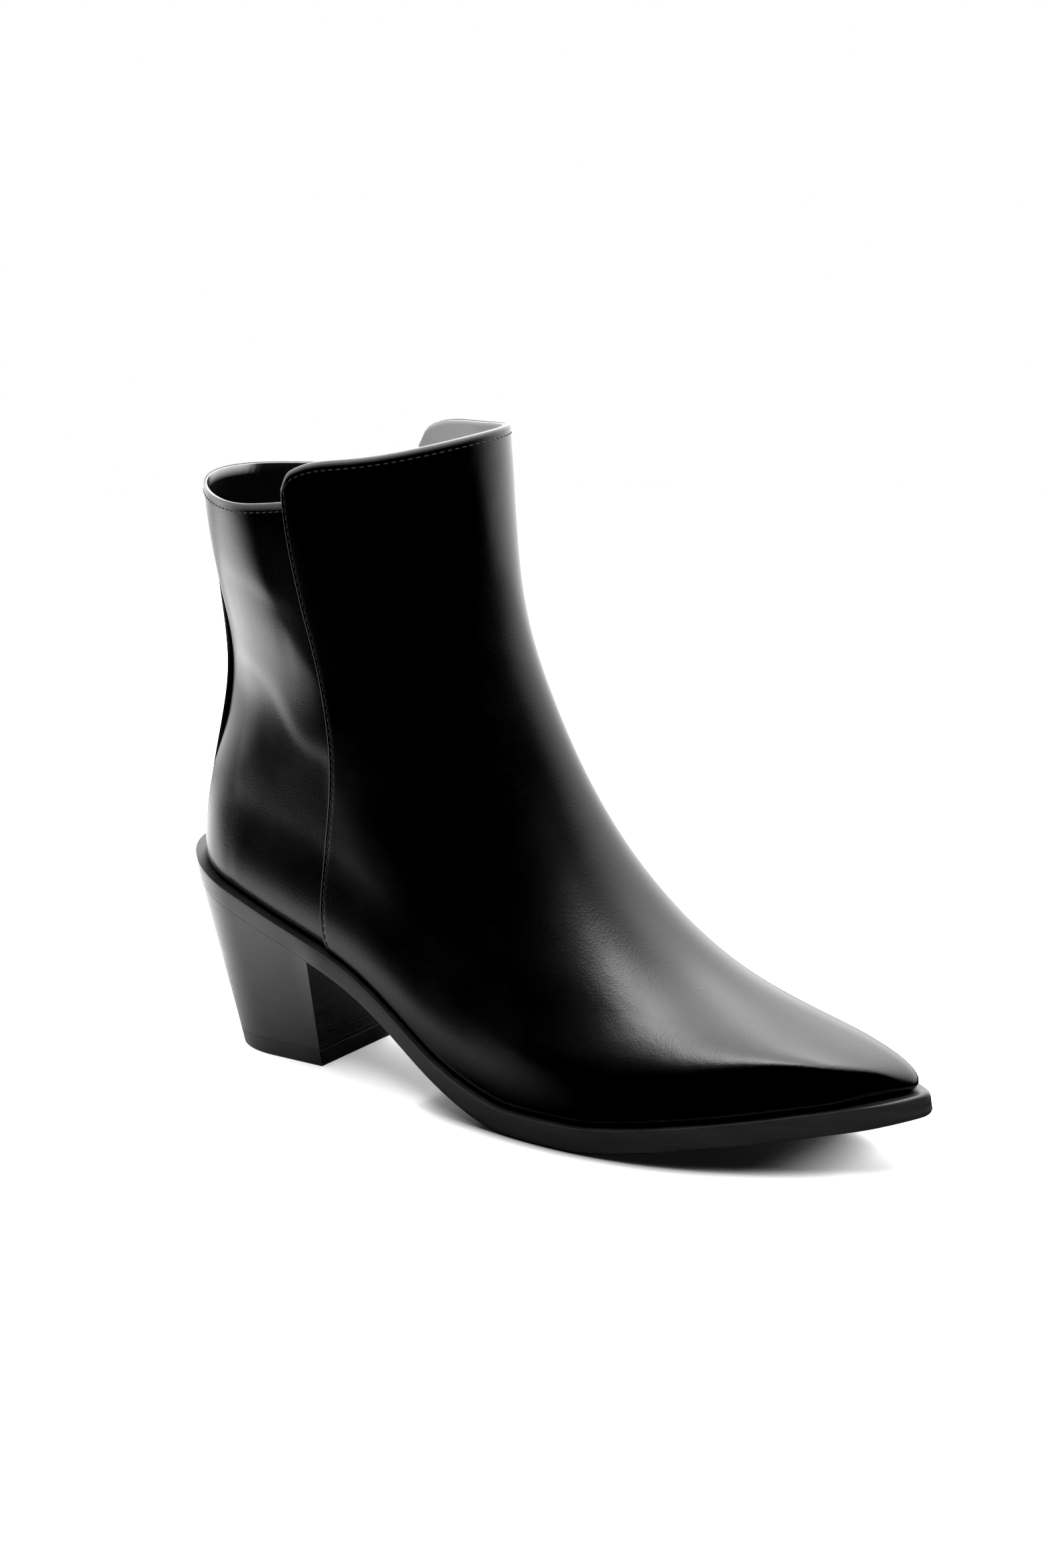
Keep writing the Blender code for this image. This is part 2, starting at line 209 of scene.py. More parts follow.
def soleOutline(stations):
    s = lastSizes
    x = np.clip(stations, 0.01, s["soleLength"] - 0.01)
    heel = rounding(x / s["heelRound"], 2)
    toe = rounding((s["soleLength"] - x) / s["toeBlunt"], s["toeFullness"])
    middle = (innerWidth(x) - outerWidth(x)) / 2
    half = (innerWidth(x) + outerWidth(x)) / 2 * heel * toe
    outer = np.stack([stations, middle - half], -1)
    inner = np.stack([stations, middle + half], -1)
    return np.vstack([outer, inner[::-1]])


plan = soleOutline(np.linspace(0, lastSizes["soleLength"], 800))
tableOrigin = np.array([-cadLow.x / mm, plan[:, 1].min() - cadLow.y / mm, 0])  # tables and CAD box meet here


def toFrame(points):
    return (np.asarray(points, float) - tableOrigin) * mm


# camera at the photograph's angle
cameraSpec = {
    "azimuth": 33.85, "elevation": 15.768, "roll": 0.16, "distance": 1301.6, "focalPixels": 6500.5,
    "imageHeight": 2353, "target": (124, 0, 80), "aimPixels": (27.05, 86.80), "sensor": 36,
}


def addCamera():
    c = cameraSpec
    a, e, r = (math.radians(c[key]) for key in ("azimuth", "elevation", "roll"))
    back = Vector((math.sin(a) * math.cos(e), -math.cos(a) * math.cos(e), math.sin(e)))
    level = Vector((math.cos(a), math.sin(a), 0))
    upright = level.cross(-back)
    right = level * math.cos(r) + upright * math.sin(r)
    up = upright * math.cos(r) - level * math.sin(r)
    perPixel = c["distance"] / c["focalPixels"] * mm
    eye = Vector(toFrame(c["target"])) + back * c["distance"] * mm
    eye += up * c["aimPixels"][1] * perPixel - right * c["aimPixels"][0] * perPixel
    data = bpy.data.cameras.new("photoCamera")
    data.sensor_width = c["sensor"]
    data.lens = c["focalPixels"] / c["imageHeight"] * c["sensor"]
    camera = bpy.data.objects.new("photoCamera", data)
    turn = Matrix((right, up, back)).transposed().to_4x4()
    camera.matrix_world = Matrix.Translation(eye) @ turn
    scene.collection.objects.link(camera)
    scene.camera = camera


addCamera()
print("camera placed")


# small helpers for node trees
def addNode(tree, kind, inputs=None, **settings):
    node = tree.nodes.new(kind)
    for key, value in settings.items():
        setattr(node, key, value)
    for key, value in (inputs or {}).items():
        if isinstance(value, bpy.types.NodeSocket):
            tree.links.new(value, node.inputs[key])
        else:
            node.inputs[key].default_value = value
    return node


def newFinish(name):
    finish = bpy.data.materials.new(name)
    finish.use_nodes = True
    tree = finish.node_tree
    place = addNode(tree, "ShaderNodeTexCoord").outputs["Object"]
    return finish, tree, tree.nodes["Principled BSDF"], place


def noiseField(tree, place, scale, detail=3.0, stretch=None):
    if stretch:
        place = addNode(tree, "ShaderNodeMapping", {"Vector": place, "Scale": stretch}).outputs["Vector"]
    noise = addNode(tree, "ShaderNodeTexNoise", {"Vector": place, "Scale": scale, "Detail": detail})
    return noise.outputs["Fac"]


def combine(tree, operation, a, b):
    return addNode(tree, "ShaderNodeMath", {0: a, 1: b}, operation=operation).outputs[0]


def vector(tree, operation, a, b=None):
    inputs = {0: a} if b is None else {0: a, 1: b}
    return addNode(tree, "ShaderNodeVectorMath", inputs, operation=operation)


def spread(tree, field, low, high, start=0.3, end=0.7):
    inputs = {"Value": field, "From Min": start, "From Max": end, "To Min": low, "To Max": high}
    return addNode(tree, "ShaderNodeMapRange", inputs).outputs["Result"]


def shades(tree, field, *stops):
    ramp = addNode(tree, "ShaderNodeValToRGB", {"Fac": field})
    band = ramp.color_ramp
    while len(band.elements) < len(stops):
        band.elements.new(0.5)
    for element, (position, level) in zip(band.elements, stops):
        element.position = position
        element.color = (level, level, level, 1)
    return ramp.outputs["Color"]


def relief(tree, field, distance, below=None):
    inputs = {"Height": field, "Distance": distance, "Strength": 1.0}
    if below is not None:
        inputs["Normal"] = below
    return addNode(tree, "ShaderNodeBump", inputs).outputs["Normal"]


# floor, light and the white room behind
boxLeft, boxRight = (-0.350, -0.186), (0.469, 0.236)
stageSpec = {
    "sheetSides": 96, "floorRadius": 0.9, "floorShade": (0.89, 0.9), "floorPaper": 60.0,
    "floorRoughness": 0.8, "floorSpecular": 0.1,
    "floorGlow": (0.2, 0.4, 0.9), "glowReach": (0.16, 0.5),  # painted light, the floor glows and less near the boot: near the back, near the front, far off
    # painted contact shadow: ambient occlusion darkens the floor's colour and glow near the sole, towards
    # the toe only
    "paintedShadowReach": 0.0142, "paintedShadowFade": (0.46, 0.93), "paintedShadowFrom": (-0.06, 0.0), "paintedShadowLevel": 0.02,
    "mirroredOnly": ("camera", "diffuse", "shadow", "transmission"),  # what does not see the cards
    "sheetRadius": 3.0, "sheetSink": 0.001,
    "sheetToward": (-0.266, 0.799, 0), "sheetFade": (0.21, 0.506), "sheetGlow": 1.85,
    "spotAt": (-0.42, 0.02, 0), "spotSize": (0.36, 0.17), "spotFade": (1.35, 0.65), "spotGlow": 2.9,
    "shadeSize": (0.15, 0.085), "shadeEdge": (0.5, 1.3),  # the floor beside the boot lies in its shadow
    "roomToward": (-0.19, 0.485, 0.688), "roomFade": (0.13, 0.85), "roomGlow": 3.6,
    "boxHeight": 1.25, "boxRadius": 2.0,
    "boxes": (  # glow, then where the left, right, front and back edges start and end
        (3.4, boxLeft, boxRight, (-1.25, -1.0), (1.6, 1.2)),
        (5.0, boxLeft, boxRight, (-1.25, -1.0), (1.2, 0.6)),
        (11.5, boxLeft, boxRight, (-1.17, -0.75), (0.03, -0.75)),
        (8.0, boxLeft, boxRight, (-0.5, 0.4), (1.6, 0.4)),
        (4.0, (0.269, 0.549), (0.900, 0.516), (-0.179, 0.131), (0.944, 0.634)),
    ),
    "lights": (  # name, place, aim, width, depth, power: these light the floor and the lining
        ("frontWash", (0.06, -0.62, 1.03), (0.03, -0.02, 0.05), 0.50, 0.30, 6.0),
        ("topWash", (0.0, 0.08, 1.25), (0.0, 0.08, 0.0), 1.20, 1.26, 17.0),
    ),
    "blackPoint": 0.003,
}


def addSheet(name, finish, radius, z, hidden):
    sides = range(stageSpec["sheetSides"])
    turns = [math.tau * i / len(sides) for i in sides]
    mesh = bpy.data.meshes.new(name)
    mesh.from_pydata([(radius * math.cos(t), radius * math.sin(t), z) for t in turns], [], [sides])
    mesh.materials.append(finish)
    made = bpy.data.objects.new(name, mesh)
    scene.collection.objects.link(made)
    for sight in hidden:
        setattr(made, "visible_" + sight, False)


def addFloor():
    s = stageSpec
    finish, tree, shader, place = newFinish("paleFloor")
    # painted shadow: the floor's colour and glow go dark where the sole closes it in, from the waist forward
    clear = addNode(tree, "ShaderNodeAmbientOcclusion", {"Distance": s["paintedShadowReach"]}).outputs["AO"]
    clear = spread(tree, clear, s["paintedShadowLevel"], 1.0, *s["paintedShadowFade"])
    ahead = addNode(tree, "ShaderNodeSeparateXYZ", {"Vector": place}).outputs["X"]
    ahead = spread(tree, ahead, 0.0, 1.0, *s["paintedShadowFrom"])
    clear = combine(tree, "MAXIMUM", clear, combine(tree, "SUBTRACT", 1.0, ahead))
    paper = noiseField(tree, place, s["floorPaper"])
    paper = shades(tree, paper, (0.3, s["floorShade"][0]), (0.7, s["floorShade"][1]))
    paper = vector(tree, "MULTIPLY", paper, clear)
    tree.links.new(paper.outputs["Vector"], shader.inputs["Base Color"])
    shader.inputs["Roughness"].default_value = s["floorRoughness"]
    shader.inputs["Specular IOR Level"].default_value = s["floorSpecular"]
    shader.inputs["Emission Color"].default_value = (1, 1, 1, 1)
    # painted light: the floor glows, weaker near the boot, and the painted shadow cuts its glow too
    away = vector(tree, "LENGTH", place).outputs["Value"]
    nearBack, nearFront, far = s["floorGlow"]
    near = spread(tree, ahead, nearBack, nearFront, 0.0, 1.0)
    glow = spread(tree, away, near, far, *s["glowReach"])
    tree.links.new(combine(tree, "MULTIPLY", glow, clear), shader.inputs["Emission Strength"])
    addSheet("floor", finish, s["floorRadius"], 0.0, ["glossy"])


def lampFinish(name):
    finish, tree, shader, place = newFinish(name)
    tree.nodes.remove(shader)
    lamp = addNode(tree, "ShaderNodeEmission")
    return finish, tree, lamp, place, tree.nodes["Material Output"].inputs["Surface"]


def ovalDistance(tree, place, middle, size):
    away = vector(tree, "SUBTRACT", place, middle).outputs["Vector"]
    away = vector(tree, "MULTIPLY", away, (1 / size[0], 1 / size[1], 0)).outputs["Vector"]
    return vector(tree, "LENGTH", away).outputs["Value"]


def addMirroredSheet():  # the bright floor that the leather mirrors
    s = stageSpec
    finish, tree, lamp, place, surface = lampFinish("sheetGlow")
    behind = vector(tree, "DOT_PRODUCT", place, s["sheetToward"]).outputs["Value"]
    behind = spread(tree, behind, 0.0, s["sheetGlow"], *s["sheetFade"])
    beside = ovalDistance(tree, place, s["spotAt"], s["spotSize"])
    beside = spread(tree, beside, 0.0, s["spotGlow"], *s["spotFade"])
    near = ovalDistance(tree, place, (0, 0, 0), s["shadeSize"])
    beside = combine(tree, "MULTIPLY", beside, spread(tree, near, 0.0, 1.0, *s["shadeEdge"]))
    tree.links.new(combine(tree, "MAXIMUM", behind, beside), lamp.inputs["Strength"])
    tree.links.new(lamp.outputs[0], surface)
    addSheet("mirroredSheet", finish, s["sheetRadius"], -s["sheetSink"], s["mirroredOnly"])


def addSoftbox():
    s = stageSpec
    finish, tree, lamp, place, surface = lampFinish("softboxGlow")
    parts = addNode(tree, "ShaderNodeSeparateXYZ", {"Vector": place}).outputs
    glow = cover = 0.0
    for level, *edges in s["boxes"]:
        inside = 1.0
        for (start, end), part in zip(edges, (parts["X"], parts["X"], parts["Y"], parts["Y"])):
            inside = combine(tree, "MULTIPLY", inside, spread(tree, part, 0.0, 1.0, start, end))
        glow = combine(tree, "MAXIMUM", glow, combine(tree, "MULTIPLY", inside, level))
        cover = combine(tree, "MAXIMUM", cover, inside)
    tree.links.new(glow, lamp.inputs["Strength"])
    clear = addNode(tree, "ShaderNodeBsdfTransparent", {"Color": combine(tree, "SUBTRACT", 1.0, cover)})
    both = addNode(tree, "ShaderNodeAddShader", {0: lamp.outputs[0], 1: clear.outputs[0]})
    tree.links.new(both.outputs[0], surface)
    addSheet("softbox", finish, s["boxRadius"], s["boxHeight"], s["mirroredOnly"])


def addRoom():
    s = stageSpec
    world = bpy.data.worlds.new("whiteRoom")
    scene.world = world
    world.use_nodes = True
    tree = world.node_tree
    toward = addNode(tree, "ShaderNodeTexCoord").outputs["Generated"]
    facing = vector(tree, "DOT_PRODUCT", toward, s["roomToward"]).outputs["Value"]
    room = tree.nodes["Background"]
    room.inputs["Color"].default_value = (1, 1, 1, 1)
    tree.links.new(spread(tree, facing, 0.0, s["roomGlow"], *s["roomFade"]), room.inputs["Strength"])
    paper = addNode(tree, "ShaderNodeBackground", {"Color": (1, 1, 1, 1), "Strength": 1.0})
    seen = addNode(tree, "ShaderNodeLightPath").outputs["Is Camera Ray"]
    both = addNode(tree, "ShaderNodeMixShader", {0: seen, 1: room.outputs[0], 2: paper.outputs[0]})
    tree.links.new(both.outputs[0], tree.nodes["World Output"].inputs["Surface"])


def addWashes():
    for name, spot, aim, width, depth, power in stageSpec["lights"]:
        data = bpy.data.lights.new(name, "AREA")
        data.shape = "ELLIPSE"
        data.size, data.size_y, data.energy = width, depth, power
        lamp = bpy.data.objects.new(name, data)
        lamp.location = spot
        lamp.rotation_euler = (Vector(spot) - Vector(aim)).to_track_quat("Z", "Y").to_euler()
        lamp.visible_camera = lamp.visible_glossy = False
        scene.collection.objects.link(lamp)


def setBlackPoint():
    look = scene.view_settings
    look.view_transform = "Standard"
    look.use_curve_mapping = True
    look.curve_mapping.black_level = [stageSpec["blackPoint"]] * 3
    look.curve_mapping.update()


addFloor()
addMirroredSheet()
addSoftbox()
addRoom()
addWashes()
setBlackPoint()
print("stage set")


# finishes
upperFinish = {
    "black": (0.0005, 0.0010), "cloudScale": 55.0, "paleEdgeAndSheenGrey": 0.13,
    "roughness": (0.24, 0.30), "rubScale": 38.0,
    "poreScale": 1500.0, "poreDepth": 0.000018, "grainScale": 4200.0, "grainDepth": 0.000008,
    "swellScale": 42.0, "swellDepth": 0.0002, "coat": 0.08, "coatRoughness": 0.22, "specular": 0.5,
}
liningFinish = {
    "grey": (0.36, 0.46), "dark": 0.004, "cloudScale": 45.0, "specular": (0.03, 0.35),
    "roughness": (0.5, 0.62), "rubScale": 80.0,
    "poreScale": 1100.0, "poreDepth": 0.00002, "swellScale": 60.0, "swellDepth": 0.0003,
}
soleFinish = {
    "grey": (0.008, 0.012), "scuff": 0.02, "roughness": (0.30, 0.40), "streakScale": 90.0,
    "streakStretch": (0.35, 0.35, 4.0), "grainScale": 2600.0, "grainDepth": 0.00002,
}
heelFinish = {
    "grey": (0.008, 0.012), "roughness": (0.28, 0.36), "layer": 1.5, "layerDepth": 0.000012,
    "grooveWidth": 0.00025, "waverScale": 30.0, "waver": 0.0006,  # the layers run a little unevenly
    "streakScale": 18.0, "streakStretch": (0.3, 0.3, 60.0), "grainScale": 2200.0, "grainDepth": 0.000012,
}
liftFinish = {
    "grey": (0.005, 0.009), "cloudScale": 120.0, "roughness": (0.34, 0.46),
    "grainScale": 1500.0, "grainDepth": 0.00005,
}
threadFinish = {"grey": (0.003, 0.007), "roughness": 0.5, "twistScale": 5200.0, "twistDepth": 0.00006}
footbedFinish = {
    "grey": (0.10, 0.17), "cloudScale": 45.0, "roughness": (0.5, 0.66), "rubScale": 80.0,
    "poreScale": 1300.0, "poreDepth": 0.00003, "swellScale": 40.0, "swellDepth": 0.0003,
}


def cloudyGrey(tree, field, f):
    return shades(tree, field, (0.3, f["grey"][0]), (0.7, f["grey"][1]))


def leatherNormal(tree, place, f):
    cells = addNode(tree, "ShaderNodeTexVoronoi", {"Vector": place, "Scale": f["poreScale"]})
    swell = relief(tree, noiseField(tree, place, f["swellScale"], 2.0), f["swellDepth"])
    pores = relief(tree, cells.outputs["Distance"], f["poreDepth"], swell)
    if "grainScale" not in f:
        return pores
    return relief(tree, noiseField(tree, place, f["grainScale"], 2.0), f["grainDepth"], pores)


def makeUpperLeather():
    f = upperFinish
    finish, tree, shader, place = newFinish("smoothBlackLeather")
    cloud = noiseField(tree, place, f["cloudScale"])
    body = shades(tree, cloud, (0.3, f["black"][0]), (0.7, f["black"][1]))
    # lighter edge colour: a painted highlight along the lap edge, and a lighter tone along the collar rims
    wear = addNode(tree, "ShaderNodeAttribute", attribute_name="wear").outputs["Fac"]
    edge = f["paleEdgeAndSheenGrey"]
    paledBody = addNode(tree, "ShaderNodeMix", {0: wear, 6: body, 7: (edge, edge, edge, 1)}, data_type="RGBA")
    tree.links.new(paledBody.outputs[2], shader.inputs["Base Color"])
    rubbing = noiseField(tree, place, f["rubScale"])
    tree.links.new(spread(tree, rubbing, *f["roughness"]), shader.inputs["Roughness"])
    tree.links.new(leatherNormal(tree, place, f), shader.inputs["Normal"])
    shader.inputs["Coat Weight"].default_value = f["coat"]
    shader.inputs["Coat Roughness"].default_value = f["coatRoughness"]
    shader.inputs["Specular IOR Level"].default_value = f["specular"]
    return finish


def makeSoftLeather(name, f):
    finish, tree, shader, place = newFinish(name)
    body = cloudyGrey(tree, noiseField(tree, place, f["cloudScale"]), f)
    if "dark" in f:
        dark = (f["dark"], f["dark"], f["dark"], 1)
        facing = addNode(tree, "ShaderNodeAttribute", attribute_name="facing").outputs["Fac"]
        body = addNode(tree, "ShaderNodeMix", {0: facing, 6: dark, 7: body}, data_type="RGBA").outputs[2]
        tree.links.new(spread(tree, facing, *f["specular"]), shader.inputs["Specular IOR Level"])
    tree.links.new(body, shader.inputs["Base Color"])
    rubbing = noiseField(tree, place, f["rubScale"])
    tree.links.new(spread(tree, rubbing, *f["roughness"]), shader.inputs["Roughness"])
    tree.links.new(leatherNormal(tree, place, f), shader.inputs["Normal"])
    return finish


def makeSoleEdge():
    f = soleFinish
    finish, tree, shader, place = newFinish("satinSoleEdge")
    streak = noiseField(tree, place, f["streakScale"], 4.0, f["streakStretch"])
    body = shades(tree, streak, (0.25, f["grey"][0]), (0.7, f["grey"][1]), (0.9, f["scuff"]))
    tree.links.new(body, shader.inputs["Base Color"])
    tree.links.new(spread(tree, streak, *f["roughness"]), shader.inputs["Roughness"])
    grain = noiseField(tree, place, f["grainScale"], 2.0)
    tree.links.new(relief(tree, grain, f["grainDepth"]), shader.inputs["Normal"])
    return finish


def makeHeelStack():
    f = heelFinish
    finish, tree, shader, place = newFinish("satinHeelStack")
    up = addNode(tree, "ShaderNodeSeparateXYZ", {"Vector": place}).outputs["Z"]
    waver = spread(tree, noiseField(tree, place, f["waverScale"]), 0.0, f["waver"])
    level = combine(tree, "ADD", up, waver)
    step = combine(tree, "MODULO", level, f["layer"] * mm)
    groove = spread(tree, step, 0.0, 1.0, 0.0, f["grooveWidth"])
    layers = noiseField(tree, place, f["streakScale"], 4.0, f["streakStretch"])
    body = cloudyGrey(tree, layers, f)
    tree.links.new(body, shader.inputs["Base Color"])
    tree.links.new(spread(tree, layers, *f["roughness"]), shader.inputs["Roughness"])
    lines = relief(tree, groove, f["layerDepth"])
    grain = relief(tree, noiseField(tree, place, f["grainScale"], 2.0), f["grainDepth"], lines)
    tree.links.new(grain, shader.inputs["Normal"])
    return finish


def makeRubber():
    f = liftFinish
    finish, tree, shader, place = newFinish("liftRubber")
    cloud = noiseField(tree, place, f["cloudScale"], 4.0)
    tree.links.new(cloudyGrey(tree, cloud, f), shader.inputs["Base Color"])
    tree.links.new(spread(tree, cloud, *f["roughness"]), shader.inputs["Roughness"])
    grain = noiseField(tree, place, f["grainScale"], 3.0)
    tree.links.new(relief(tree, grain, f["grainDepth"]), shader.inputs["Normal"])
    return finish


def makeThread():
    f = threadFinish
    finish, tree, shader, place = newFinish("waxedThread")
    twist = noiseField(tree, place, f["twistScale"], 2.0)
    tree.links.new(cloudyGrey(tree, twist, f), shader.inputs["Base Color"])
    tree.links.new(relief(tree, twist, f["twistDepth"]), shader.inputs["Normal"])
    shader.inputs["Roughness"].default_value = f["roughness"]
    return finish


leather = makeUpperLeather()
liningLeather = makeSoftLeather("greyLining", liningFinish)
footbedLeather = makeSoftLeather("footbedLeather", footbedFinish)
soleEdge = makeSoleEdge()
heelStack = makeHeelStack()
rubber = makeRubber()
thread = makeThread()
print("finishes made")


# meshes
def addPiece(name, points, faces, finish, sharp=None, **marks):
    mesh = bpy.data.meshes.new(name)
    mesh.from_pydata(toFrame(points).tolist(), [], faces)
    mesh.materials.append(finish)
    mesh.shade_smooth()
    if sharp:
        mesh.set_sharp_from_angle(angle=math.radians(sharp))
    for mark, values in marks.items():
        mesh.attributes.new(mark, "FLOAT", "POINT").data.foreach_set("value", values.astype(np.float32))
    piece = bpy.data.objects.new(name, mesh)
    scene.collection.objects.link(piece)
    return piece


def pointNormals(points, faces):
    a, b, c, d = (points[faces[:, i]] for i in range(4))
    square = np.cross(c - a, d - b)
    normals = np.zeros_like(points)
    for i in range(4):
        np.add.at(normals, faces[:, i], square)
    return normals / np.linalg.norm(normals, axis=1, keepdims=True)


def openEdges(faces):
    edges = {(int(face[i - 1]), int(face[i])) for face in faces for i in range(4)}
    return [(a, b) for a, b in edges if (b, a) not in edges]


# upper: front panel lapped over the quarters, joined at the back
upperSpec = {
    "rows": 96, "rowGrading": 1.3, "bandRows": 14, "quarterColumns": 40, "frontColumns": 96,
    "backSpots": (0, 1.5, 3.0, 4.5, 5.8, 6.8, 7.5, 8.0, 8.3, 8.5, 8.62, 8.74, 8.9, 9.2, 9.8, 10.8),
    "seamSpots": (8, 5.5, 3.8, 2.6, 1.7, 1.0, 0.5, 0.2, 0.0),
    "lapSpots": (
        0.02, 0.05, 0.1, 0.17, 0.26, 0.38, 0.55, 0.75, 0.95, 1.15, 1.35, 1.55, 1.8, 2.2, 2.8, 3.8, 5.5, 8.0,
    ),
    "outside": None, "inside": -1.25, "leastWall": 0.5, "rimRise": 0.5, "rimSteps": 6,
    # the lighter colour along the lap edge is a painted highlight on its rounded edge
    "lapStep": 0.84, "lapRound": 0.38, "lapFullness": 2.4, "lapSheen": 0.06, "lapSheenAt": 0.2,
    "rimPale": 1.0, "quarterRimPale": 0.5, "rimPaleReach": 0.5,  # lighter colour along the collar rims
    "stitchSpot": 1.35, "stitchDip": 0.1, "stitchWidth": 0.45,
    "stripEdge": 8.62, "stripRound": 0.35, "stripRise": 0.45, "stripSink": 1.5, "stripReach": 26.0,
    "stripStep": 0.25,
    "stripEnds": (84, 108, 126, 172),  # the strip along the back stands out most at the ankle
    "hemHeight": 2.6, "hemTuck": (0.7, 1.7),
}
liningSpec = {
    "rows": 50, "rowGrading": 1.3, "bandRows": 8, "quarterColumns": 20, "frontColumns": 48,
    "backSpots": (0, 1.2, 2.6, 4.3, 6.5, 8.62, 10.8), "seamSpots": (8, 4, 1.5, 0.0),
    "lapSpots": (0.02, 0.3, 1.0, 2.4, 4.5, 8.0),
    "outside": -1.3, "inside": -1.9, "rimRise": 0.15, "rimSteps": 3,
    "backFacing": 2.4, "facingEnd": 8.5, "facingFade": 3.0, "hemHeight": 2.6, "hemTuck": (0.7, 1.7),
}
creases = {  # line of each fold as x and z, its width above and below the line, its depth, in mm
    -1: (
        (((25, 152.3), (38, 150.7), (47.5, 147.5), (54, 145)), 4.5, 14.0, 0.45),
        (
            ((20, 123.5), (30, 122.3), (38, 119.5), (46, 111.8), (51, 106.6), (58.4, 102), (67, 100)),
            4.5, 15.0, 0.5,
        ),
    ),
    1: (
        (((24, 148), (38, 146), (50, 142)), 6.0, 14.0, 0.35),
        (((20, 121), (34, 117), (48, 108), (64, 101)), 6.0, 15.0, 0.4),
    ),
}
creaseEnds = {"backLead": 8.0, "backFade": 12.0, "frontLead": 5.0, "frontFade": 9.0}  # where folds run out
skinSpec = {
    "backCurve": 46.0,  # how fast the round back opens
    "quarterGrading": 1.3, "bandGrading": 0.8, "hemSpan": (50, 110), "rimFullness": 0.6,
}


def between(left, right, share, rows):
    column = left * (1 - share)[:, None] + right * share[:, None]
    column[:, 1] += (feather(column[0, 0]) - column[0, 1]) * (1 - rows)**2
    return column


def quarterColumns(spec, rows, back, seam, rise):
    reach = np.linalg.norm(seam - back, axis=1)
    shares = [np.full(len(rows), (spot / skinSpec["backCurve"])**2) for spot in spec["backSpots"]]
    first, final = shares[-1], 1 - spec["seamSpots"][0] / reach
    for step in np.linspace(0, 1, spec["quarterColumns"] + 2)[1:-1]**skinSpec["quarterGrading"]:
        shares.append(first + (final - first) * step)
    shares += [1 - spot / reach for spot in spec["seamSpots"]]
    columns = []
    for share in shares:
        column = between(back, seam, share, rows)
        column[:, 1] += (rise * share - lastSizes["collarDip"] * np.sin(np.pi * share)) * rows**3
        columns.append(column)
    return columns, skinSpec["backCurve"] * np.sqrt([share[0] for share in shares])


def frontColumns(spec, rows, seam, ridge, rise):
    reach = np.linalg.norm(ridge - seam, axis=1)
    shares = [spot / reach for spot in spec["lapSpots"]]
    first = shares[-1]
    for step in np.sin(np.linspace(0, np.pi / 2, spec["frontColumns"] + 1)[1:]):
        shares.append(first + (1 - first) * step)
    bandSteps = np.linspace(0, 1, spec["bandRows"] + 1)[1:, None]**skinSpec["bandGrading"]
    columns, lapAway = [], []
    for share in shares:
        column = between(seam, ridge, share, rows)
        column[:, 1] += rise * (1 - share) * rows**3
        edgeX = seam[-1, 0] * (1 - share[-1]) + ridgeTable["x"][-1] * share[-1]
        edge = np.array([edgeX, collarFront(edgeX) + rise * (1 - share[-1])])
        columns.append(np.vstack([column, column[-1] * (1 - bandSteps) + edge * bandSteps]))
        lapAway.append(np.concatenate([share * reach, np.full(spec["bandRows"], share[-1] * reach[-1])]))
    return columns, lapAway


def sideColumns(side, spec):
    s = lastSizes
    rows = np.linspace(0, 1, spec["rows"])**spec["rowGrading"]
    rise = s["innerRise"] if side > 0 else 0
    low = feather(backTable["x"][0])
    backZ = low + (s["collarBack"] - low) * rows
    back = np.stack([backX(backZ), backZ], -1)
    seam = np.stack([seamX(rows), seamZ(rows)], -1)
    ridge = np.stack([ridgeX(rows * s["shelf"]), ridgeZ(rows * s["shelf"])], -1)
    return quarterColumns(spec, rows, back, seam, rise), frontColumns(spec, rows, seam, ridge, rise)


def creaseLift(x, z, side):
    lift = np.zeros_like(x)
    for line, above, below, depth in creases[side]:
        lineX, lineZ = np.array(line, float).T
        fold = smoothCurve(lineX, lineZ)
        slope = fold(x + 0.5) - fold(x - 0.5)
        across = (z - fold(x)) / np.sqrt(1 + slope**2)
        ends = ease((x - lineX[0] + creaseEnds["backLead"]) / creaseEnds["backFade"])
        ends *= ease((lineX[-1] + creaseEnds["frontLead"] - x) / creaseEnds["frontFade"])
        lift -= depth * bump(across, np.where(across > 0, above, below)) * ends
    return lift


def stripLift(spot, x, z, spec):
    a, b, c, d = spec["stripEnds"]
    stand = ease((z - a) / (b - a)) * ease((d - z) / (d - c))
    on = 1 - ease((spot - spec["stripEdge"] + spec["stripRound"]) / spec["stripRound"])
    sink = spec["stripSink"] * bump(x - backX(z), spec["stripReach"])
    return stand * (spec["stripRise"] * on - sink * (1 - on)) + spec["stripStep"] * (on - 1)


def quarterDetail(spec, spot, x, z):
    rim = bump(z[-1] - z, spec["rimPaleReach"])
    return stripLift(spot, x, z, spec) - spec["lapStep"] / 2, spec["quarterRimPale"] * rim


def frontDetail(spec, away, z):
    step = spec["lapStep"]
    lift = step * rounding(away / spec["lapRound"], spec["lapFullness"]) - step / 2
    lift -= spec["stitchDip"] * bump(away - spec["stitchSpot"], spec["stitchWidth"])
    # painted highlight: a lighter colour along the rounded lap edge
    paleAndSheen = spec["lapSheen"] * bump(away - spec["lapSheenAt"], spec["lapSheenAt"])
    return lift, paleAndSheen + spec["rimPale"] * bump(z[-1] - z, spec["rimPaleReach"])


def liningDetail(spec, inFront, x, z):
    if inFront:
        return spec["outside"], np.ones(len(x))  # the front panel has a light facing
    beside = stripLift(np.inf, x, z, upperSpec) + upperSpec["stripStep"]
    below = (z[-1] - z) / spec["backFacing"]
    facing = np.exp(-below**8) * ease((spec["facingEnd"] - x) / spec["facingFade"])
    return spec["outside"] + beside, facing


def skinFaces(index, last):
    faces = []
    for side in (-1, 1):
        for c in range(last):
            a, b = index[side, c], index[side, c + 1]
            n = min(len(a), len(b))
            strip = np.stack([a[:n - 1], b[:n - 1], b[1:n], a[1:n]], -1)
            faces.append(strip if side < 0 else strip[:, ::-1])
    return np.vstack(faces)


